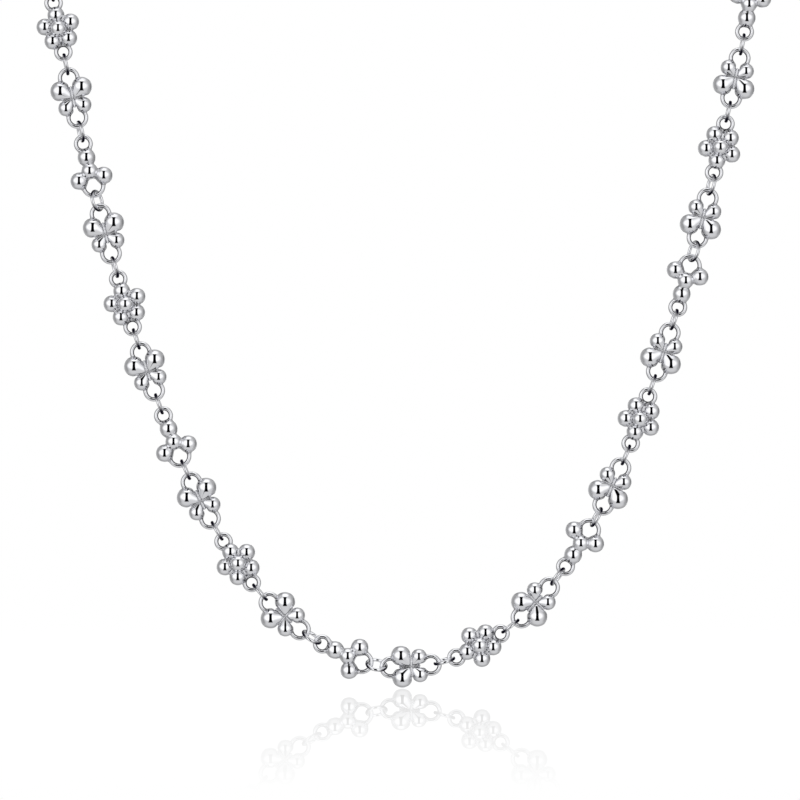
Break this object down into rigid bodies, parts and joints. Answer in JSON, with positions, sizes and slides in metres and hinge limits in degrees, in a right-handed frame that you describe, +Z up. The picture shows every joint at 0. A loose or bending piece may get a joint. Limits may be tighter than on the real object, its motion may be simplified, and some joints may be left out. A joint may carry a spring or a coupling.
{
  "type": "seed bead necklace",
  "caption": "Polished silver necklace of cast bead-cluster links (butterflies, flowers and trefoils) joined by jump rings, hanging as it is worn.",
  "frame": {"origin": "the place at the back of the neck that the top of the string rests on, under the middle of the clasp", "axes": "+X across to the right as seen from the front, +Y from front to back, +Z up; the links show their fronts towards -Y"},
  "size_m": [0.1237, 0.0041, 0.1746],
  "materials": {
    "cast_silver": "cast silver, polished to a mirror, with soft marks of the polishing wheel",
    "wire_silver": "drawn silver wire, polished, a little less even than the links"
  },
  "bodies": {
    "root": {"butterfly_link_01": "cast_silver", "trefoil_link_01": "cast_silver", "butterfly_link_02": "cast_silver", "flower_link_01": "cast_silver", "butterfly_link_03": "cast_silver", "trefoil_link_02": "cast_silver", "butterfly_link_04": "cast_silver", "flower_link_02": "cast_silver", "butterfly_link_05": "cast_silver", "trefoil_link_03": "cast_silver", "butterfly_link_06": "cast_silver", "flower_link_03": "cast_silver", "butterfly_link_07": "cast_silver", "trefoil_link_04": "cast_silver", "butterfly_link_08": "cast_silver", "flower_link_04": "cast_silver", "butterfly_link_09": "cast_silver", "trefoil_link_05": "cast_silver", "butterfly_link_10": "cast_silver", "flower_link_05": "cast_silver", "butterfly_link_11": "cast_silver", "trefoil_link_06": "cast_silver", "butterfly_link_12": "cast_silver", "flower_link_06": "cast_silver", "butterfly_link_13": "cast_silver", "trefoil_link_07": "cast_silver", "butterfly_link_14": "cast_silver", "flower_link_07": "cast_silver", "butterfly_link_15": "cast_silver", "trefoil_link_08": "cast_silver", "butterfly_link_16": "cast_silver", "flower_link_08": "cast_silver", "butterfly_link_17": "cast_silver", "trefoil_link_09": "cast_silver", "butterfly_link_18": "cast_silver", "flower_link_09": "cast_silver", "butterfly_link_19": "cast_silver", "jump_rings_left": "wire_silver", "jump_rings_right": "wire_silver", "clasp": "cast_silver"}
  },
  "joints": []
}
